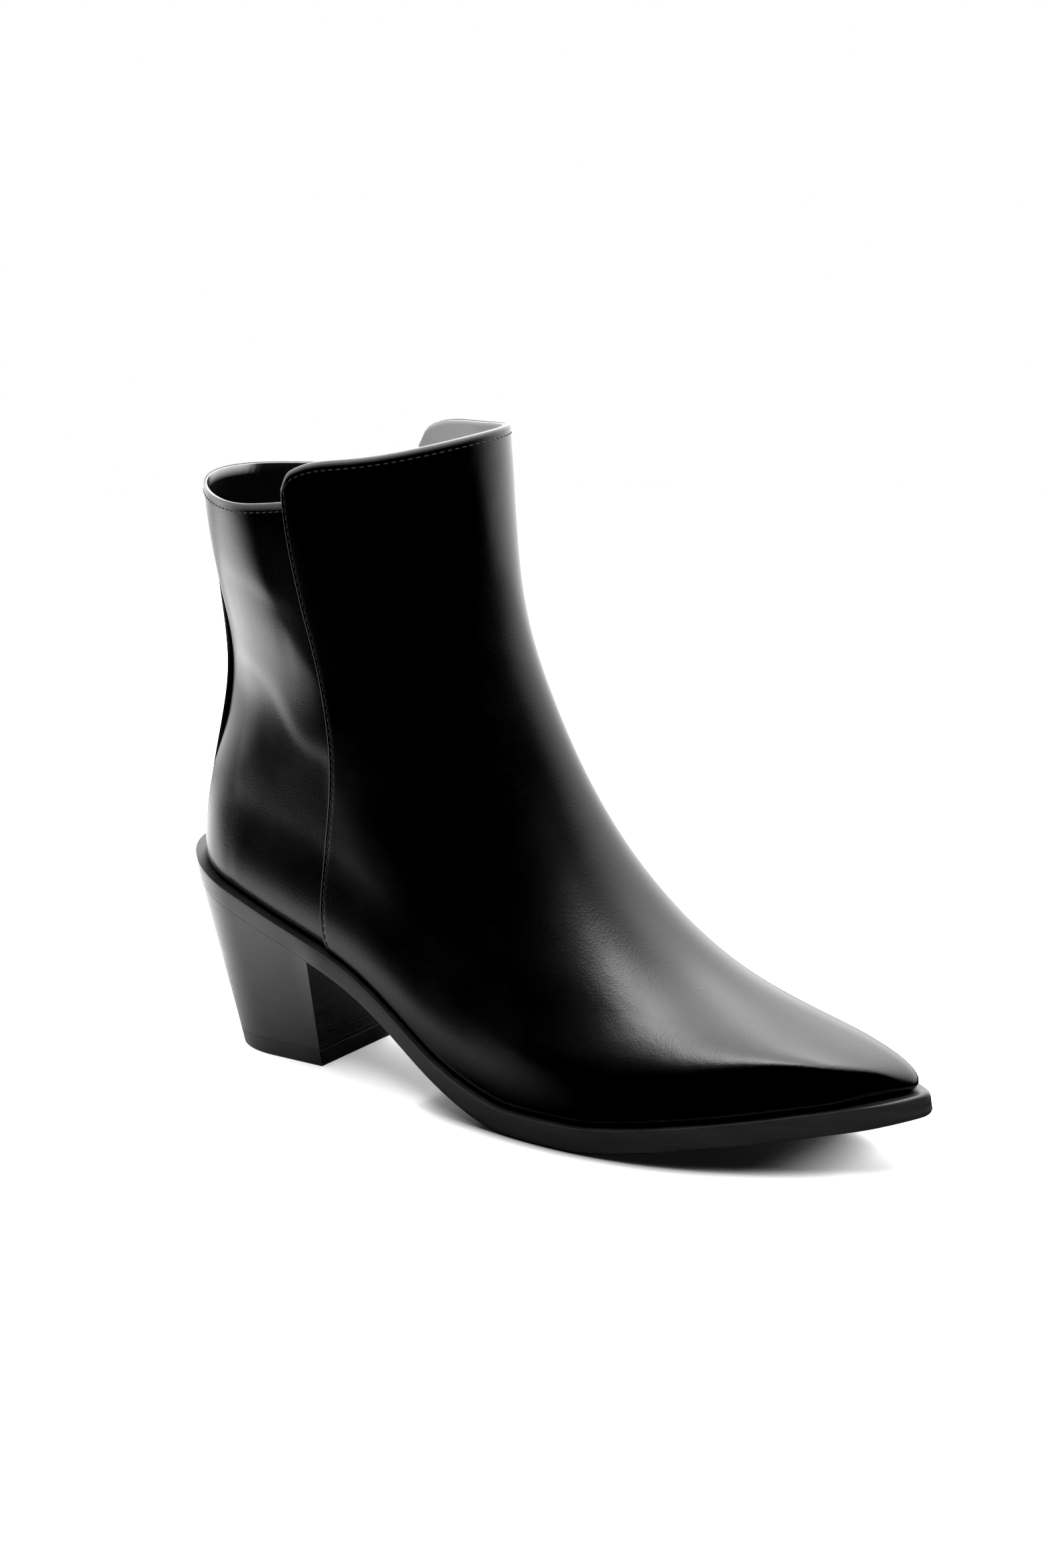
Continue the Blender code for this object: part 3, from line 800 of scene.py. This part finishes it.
def buildSkin(spec):
    points, lifts, wear, index = [], [], [], {}
    count = 0
    for side in (-1, 1):
        (quarters, spots), (fronts, lapAway) = sideColumns(side, spec)
        columns, quarterCount = quarters + fronts, len(quarters)
        last = len(columns) - 1
        for c, column in enumerate(columns):
            if c in (0, last) and side > 0:
                index[side, c] = index[-1, c]
                continue
            x, z = column.T
            y = bendY(x) if c in (0, last) else lastY(x, z, side)
            lift = creaseLift(x, z, side) if 0 < c < quarterCount else np.zeros(len(x))
            roll = np.clip((z - feather(x)) / spec["hemHeight"], 0, 1)
            tuck = np.interp(x, skinSpec["hemSpan"], spec["hemTuck"])
            lift -= tuck * (1 - roll)**2
            inFront = c >= quarterCount
            if spec["outside"] is not None:
                added, paleAndSheen = liningDetail(spec, inFront, x, z)
            elif inFront:
                added, paleAndSheen = frontDetail(spec, lapAway[c - quarterCount], z)
            else:
                added, paleAndSheen = quarterDetail(spec, spots[c], x, z)
            lift += added
            index[side, c] = np.arange(count, count + len(x))
            count += len(x)
            points.append(np.stack([x, y, z], -1))
            lifts.append(lift)
            wear.append(paleAndSheen)
    faces = skinFaces(index, last)
    points = np.vstack(points)
    normals = pointNormals(points, faces)
    outer = [index[-1, c][0] for c in range(last + 1)]
    bottom = np.array(outer + [index[1, c][0] for c in range(last - 1, 0, -1)])
    level = normals[bottom] * (1, 1, 0)
    normals[bottom] = level / np.linalg.norm(level, axis=1, keepdims=True)
    return {
        "points": points, "normals": normals, "lifts": np.concatenate(lifts), "wear": np.concatenate(wear),
        "faces": faces, "index": index, "quarterCount": quarterCount, "last": last, "bottom": bottom,
    }


def buildShell(skin, spec):
    points, normals, faces = skin["points"], skin["normals"], skin["faces"]
    outside = points + normals * skin["lifts"][:, None]
    if spec["outside"] is None:
        depth = np.minimum(spec["inside"], skin["lifts"] - spec["leastWall"])
        insideTone = np.zeros(len(points))
    else:
        depth = skin["lifts"] + spec["inside"] - spec["outside"]
        insideTone = skin["wear"]
    inside = points + normals * depth[:, None]
    count = len(points)
    edges = openEdges(faces)
    floor = set(skin["bottom"].tolist())
    along = np.zeros_like(points)
    for a, b in edges:
        step = outside[b] - outside[a]
        step /= np.linalg.norm(step)
        along[a] += step
        along[b] += step
    shell = faces.tolist() + (faces[:, ::-1] + count).tolist()
    extra, ring = [], {}
    total = 2 * count
    steps, fullness = spec["rimSteps"], skinSpec["rimFullness"]
    for v in {v for edge in edges for v in edge} - floor:
        away = np.cross(along[v], normals[v])
        away *= spec["rimRise"] / np.linalg.norm(away)
        middle, half = (outside[v] + inside[v]) / 2, (outside[v] - inside[v]) / 2
        ring[v] = [v]
        for angle in np.linspace(0, np.pi, steps + 1)[1:-1]:
            c, s = np.cos(angle), np.sin(angle)
            extra.append(middle + half * np.sign(c) * abs(c)**fullness + away * s**fullness)
            ring[v].append(total)
            total += 1
        ring[v].append(v + count)
    for a, b in edges:
        if a in floor and b in floor:
            shell.append([b, a, a + count, b + count])
            continue
        for i in range(steps):
            shell.append([ring[b][i], ring[a][i], ring[a][i + 1], ring[b][i + 1]])
    wear = np.concatenate([skin["wear"], insideTone, np.ones(len(extra))])
    skin["outside"], skin["inside"] = outside, inside
    return np.vstack([outside, inside, extra]), shell, wear


upperSkin = buildSkin(upperSpec)
points, faces, wear = buildShell(upperSkin, upperSpec)
upper = addPiece("upperLeather", points, faces, leather, wear=wear)
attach(upper, "root")
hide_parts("upper")
print("upper:", len(faces), "faces")

liningSkin = buildSkin(liningSpec)
points, faces, wear = buildShell(liningSkin, liningSpec)
lining = addPiece("lining", points, faces, liningLeather, facing=wear)
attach(lining, "root")
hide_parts("upper")
print("lining:", len(faces), "faces")


# sole, heel, lift and footbed are lofted from rings
def inset(loop, distance):
    along = np.roll(loop, -1, 0) - np.roll(loop, 1, 0)
    along /= np.linalg.norm(along, axis=1, keepdims=True)
    distance = np.asarray(distance, float).reshape(-1, 1)
    return loop + distance * np.stack([-along[:, 1], along[:, 0]], -1)


def raised(loop, height):
    return np.column_stack([loop, height])


def loft(rings):
    count = len(rings[0])
    faces = []
    for level in range(len(rings) - 1):
        low = level * count
        for i in range(count):
            j = (i + 1) % count
            faces.append([low + i, low + j, low + count + j, low + count + i])
    top = (len(rings) - 1) * count
    for i in range(count // 2 - 1):
        strip = [i, i + 1, count - 2 - i, count - 1 - i]
        faces.append(strip[::-1])
        faces.append([top + k for k in strip])
    return np.vstack(rings), faces


outsoleSpec = {
    "stations": 220, "arcSteps": 6, "sideShares": (0.3, 0.5, 0.7), "edgeThickness": 7.0,
    "edgeRound": 0.7, "topRound": 0.1, "ledge": 6.0, "spine": (20, 236), "spineReach": 0.8,
    "heelEnd": 57.4, "heelBlend": 6.0, "heelSquare": 0.08,  # over the heel the edge stays square
    "toeRound": 1.6, "tipRound": 14.0, "toeLean": 0.8,  # the tip is worn round
    "toeStart": 240, "toeReach": 14,
    "heelDraft": 1.3, "draftEnd": (50, 64),  # over the heel the edge leans in as the heel does
}


def arcSpot(radius, turn):
    return radius * (1 - math.sin(turn)), radius * (1 - math.cos(turn)) / outsoleSpec["edgeThickness"]


def makeOutsole():
    o = outsoleSpec
    stations = (1 - np.cos(np.linspace(0, np.pi, o["stations"]))) / 2 * lastSizes["soleLength"]
    outline = soleOutline(stations)
    free = o["heelSquare"] + (1 - o["heelSquare"]) * ease((outline[:, 0] - o["heelEnd"]) / o["heelBlend"])
    tip = ease((outline[:, 0] - o["toeStart"]) / o["toeReach"])
    bottomScale, topScale = free * (1 + o["toeRound"] * tip), 1 + o["tipRound"] * tip
    lean = o["toeLean"] * tip
    turns = np.linspace(0, np.pi / 2, o["arcSteps"])

    def ring(loop, share):
        loop = shrink(loop, heelDraft(loop[:, 0]) * (1 - share))
        x = loop[:, 0]
        return raised(loop, underside(x) * (1 - share) + topside(x) * share)

    rings = [ring(shrink(outline, o["ledge"]), 0.0)]
    for turn in turns:
        depth, share = arcSpot(o["edgeRound"], turn)
        rings.append(ring(inset(outline, depth * bottomScale + lean * share), share * bottomScale))
    for share in o["sideShares"]:
        rings.append(ring(inset(outline, lean * share), share))
    for turn in turns[::-1]:
        depth, share = arcSpot(o["topRound"], turn)
        rings.append(ring(inset(outline, depth * topScale + lean * (1 - share)), 1 - share * topScale))
    rings.append(ring(shrink(outline, o["ledge"]), 1.0))
    return loft(rings)


def heelDraft(x):
    start, end = outsoleSpec["draftEnd"]
    return outsoleSpec["heelDraft"] * (1 - ease((x - start) / (end - start)))


def shrink(loop, distance):
    distance = np.asarray(distance, float).reshape(-1, 1)
    spine = np.stack([np.clip(loop[:, 0], *outsoleSpec["spine"]), (loop[:, 1] + loop[::-1, 1]) / 2], -1)
    away = spine - loop
    length = np.linalg.norm(away, axis=1, keepdims=True)
    return loop + away / np.maximum(length, 1e-6) * np.minimum(distance, length * outsoleSpec["spineReach"])


points, faces = makeOutsole()
outsole = addPiece("outsole_edge", points, faces, soleEdge, sharp=50)
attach(outsole, "root")
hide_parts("outsole")
print("outsole:", len(faces), "faces")


heelSpec = {
    "columns": 40, "rings": 14, "backTop": 0.1, "frontTop": 57.4, "backFoot": 15.5, "frontFoot": 54.8,
    "footWidth": 18.0, "footRound": 20.0, "joint": 0.03, "lift": 5.5,
    "edge": 0.5, "liftEdge": 0.6, "softAngle": 60,
}


def heelEnds():
    h = heelSpec
    share = 1 - np.cos(np.linspace(0, np.pi / 2, h["columns"] + 1)[1:])
    seatX = h["backTop"] + (h["frontTop"] - h["backTop"]) * share
    seat = soleOutline(seatX)
    seat = shrink(seat, heelDraft(seat[:, 0]))
    footX = h["backFoot"] + (h["frontFoot"] - h["backFoot"]) * share
    footY = h["footWidth"] * rounding((footX - h["backFoot"] + lastSizes["seatGap"]) / h["footRound"], 2)
    foot = np.vstack([np.stack([footX, -footY], -1), np.stack([footX, footY], -1)[::-1]])
    return raised(seat, underside(seat[:, 0]) - h["joint"]), raised(foot, np.zeros(len(foot)))


def heelRing(seat, foot, height):
    share = (height / seat[:, 2])[:, None]
    return foot * (1 - share) + seat * share


def softenEdges(piece, width):
    bevel = piece.modifiers.new("soften", "BEVEL")
    bevel.width, bevel.segments = width * mm, 3
    bevel.limit_method = "ANGLE"
    bevel.angle_limit = math.radians(heelSpec["softAngle"])
    bevel.harden_normals = True


seat, foot = heelEnds()
low = heelRing(seat, foot, heelSpec["lift"] + heelSpec["joint"])
points, faces = loft([low * (1 - share) + seat * share for share in np.linspace(0, 1, heelSpec["rings"])])
heel = addPiece("heel_block", points, faces, heelStack, sharp=40)
softenEdges(heel, heelSpec["edge"])
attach(heel, "root")
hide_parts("heel")

middle, top = (heelRing(seat, foot, heelSpec["lift"] * share) for share in (0.5, 1.0))
points, faces = loft([foot, middle, top])
lift = addPiece("heel_lift_rubber", points, faces, rubber, sharp=40)
softenEdges(lift, heelSpec["liftEdge"])
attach(lift, "root")
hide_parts("heel_lift")
print("heel and lift lofted")


footbedSpec = {
    "clearance": 0.7, "thickness": 3.5, "roll": 1.2, "rollMiddle": 0.35,
    "dish": 0.8, "dishReach": 1.5, "across": 10,
}


def makeFootbed():
    f = footbedSpec
    loop = inset(liningSkin["inside"][liningSkin["bottom"]][:, :2], f["clearance"])
    half = len(loop) // 2
    loop = np.vstack([loop[1:half], loop[half + 1:]])
    middle = f["rollMiddle"] * f["roll"]
    rings = []
    for depth, above in (
        (0, 0), (0, f["thickness"] - f["roll"]),
        (middle, f["thickness"] - middle), (f["roll"], f["thickness"]),
    ):
        ring = inset(loop, depth)
        rings.append(raised(ring, feather(ring[:, 0]) + above))
    edge = rings[-1]
    for step in range(1, f["across"]):
        share = step / f["across"]
        ring = edge * (1 - share / 2) + edge[::-1] * (share / 2)
        ring[:, 2] -= f["dish"] * ease(share * f["dishReach"])
        rings.append(ring)
    return loft(rings)


points, faces = makeFootbed()
footbed = addPiece("footbed", points, faces, footbedLeather, sharp=60)
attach(footbed, "root")
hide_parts("insole")
print("footbed:", len(faces), "faces")


# stitches follow lines on the leather
stitchSpec = {
    "collar": {"pitch": 2.4, "length": 1.8, "width": 0.42, "fromEdge": 2.3, "skipColumns": 9},
    "seam": {"pitch": 2.4, "length": 1.9, "width": 0.42, "skipRows": 3},
    "stand": 0.05,
}


def stitchTree():
    tree = bpy.data.node_groups.new("stitchRow", "GeometryNodeTree")
    sockets = tree.interface
    sockets.new_socket("path", in_out="INPUT", socket_type="NodeSocketGeometry")
    for name in ("pitch", "stitchLength", "threadWidth"):
        sockets.new_socket(name, in_out="INPUT", socket_type="NodeSocketFloat")
    sockets.new_socket("finish", in_out="INPUT", socket_type="NodeSocketMaterial")
    sockets.new_socket("stitches", in_out="OUTPUT", socket_type="NodeSocketGeometry")
    given = tree.nodes.new("NodeGroupInput").outputs
    line = addNode(tree, "GeometryNodeMeshToCurve", {"Mesh": given["path"]})
    spots = addNode(tree, "GeometryNodeCurveToPoints", {
        "Curve": line.outputs[0], "Length": given["pitch"],
    }, mode="LENGTH")
    turn = addNode(tree, "FunctionNodeAlignRotationToVector", {"Vector": spots.outputs["Tangent"]}, axis="X")
    bead = addNode(tree, "GeometryNodeMeshUVSphere", {"Segments": 8, "Rings": 6, "Radius": 0.5})
    size = addNode(tree, "ShaderNodeCombineXYZ", {
        "X": given["stitchLength"], "Y": given["threadWidth"], "Z": given["threadWidth"],
    })
    row = addNode(tree, "GeometryNodeInstanceOnPoints", {
        "Points": spots.outputs["Points"], "Instance": bead.outputs["Mesh"],
        "Rotation": turn.outputs[0], "Scale": size.outputs[0],
    })
    solid = addNode(tree, "GeometryNodeRealizeInstances", {"Geometry": row.outputs[0]})
    soft = addNode(tree, "GeometryNodeSetShadeSmooth", {"Geometry": solid.outputs[0]})
    done = addNode(tree, "GeometryNodeSetMaterial", {
        "Geometry": soft.outputs[0], "Material": given["finish"],
    })
    ends = tree.nodes.new("NodeGroupOutput")
    tree.links.new(done.outputs[0], ends.inputs["stitches"])
    return tree


stitchRow = stitchTree()


def addStitches(name, lines, size, finish):
    points, edges = [], []
    for line in lines:
        start = len(points)
        points += toFrame(line).tolist()
        edges += [(i, i + 1) for i in range(start, len(points) - 1)]
    mesh = bpy.data.meshes.new(name + "Path")
    mesh.from_pydata(points, edges, [])
    carrier = bpy.data.objects.new(name + "Path", mesh)
    scene.collection.objects.link(carrier)
    row = carrier.modifiers.new("row", "NODES")
    row.node_group = stitchRow
    keys = {item.name: item.identifier for item in stitchRow.interface.items_tree if item.in_out == "INPUT"}
    row[keys["pitch"]] = size["pitch"] * mm
    row[keys["stitchLength"]] = size["length"] * mm
    row[keys["threadWidth"]] = size["width"] * mm
    row[keys["finish"]] = finish
    depsgraph = bpy.context.evaluated_depsgraph_get()
    solid = bpy.data.meshes.new_from_object(carrier.evaluated_get(depsgraph), depsgraph=depsgraph)
    carrier.modifiers.remove(row)
    bpy.data.objects.remove(carrier)
    solid.name = name
    piece = bpy.data.objects.new(name, solid)
    scene.collection.objects.link(piece)
    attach(piece, "root")
    print(name, len(solid.polygons), "faces")
    return piece


def belowEdge(skin, side, columns):
    distance = stitchSpec["collar"]["fromEdge"]
    line = []
    for c in columns:
        ids = skin["index"][side, c][::-1]
        spots, normals = skin["outside"][ids], skin["normals"][ids]
        way = np.concatenate([[0], np.cumsum(np.linalg.norm(np.diff(spots, axis=0), axis=1))])
        spot = [np.interp(distance, way, spots[:, i]) for i in range(3)]
        normal = [np.interp(distance, way, normals[:, i]) for i in range(3)]
        line.append(np.array(spot) + np.array(normal) * stitchSpec["stand"])
    return np.array(line)


def frontRow(skin):
    start, last = skin["quarterCount"] + stitchSpec["collar"]["skipColumns"], skin["last"]
    outer = belowEdge(skin, -1, range(start, last + 1))
    inner = belowEdge(skin, 1, range(start, last))
    return np.vstack([outer, inner[::-1]])


def quarterRow(skin):
    end = skin["quarterCount"] - 1
    outer = belowEdge(skin, -1, range(0, end))
    inner = belowEdge(skin, 1, range(1, end))
    return np.vstack([outer[::-1], inner])


def seamRow(skin, side):
    spots = np.array(upperSpec["lapSpots"])
    c = skin["quarterCount"] + int(np.abs(spots - upperSpec["stitchSpot"]).argmin())
    skip = stitchSpec["seam"]["skipRows"]
    ids = skin["index"][side, c][skip:-skip]
    return skin["outside"][ids] + skin["normals"][ids] * stitchSpec["stand"]


collarRows = [frontRow(upperSkin), quarterRow(upperSkin)]
addStitches("collarStitches", collarRows, stitchSpec["collar"], thread)
seamRows = [seamRow(upperSkin, side) for side in (-1, 1)]
addStitches("seamStitches", seamRows, stitchSpec["seam"], thread)


print("done")
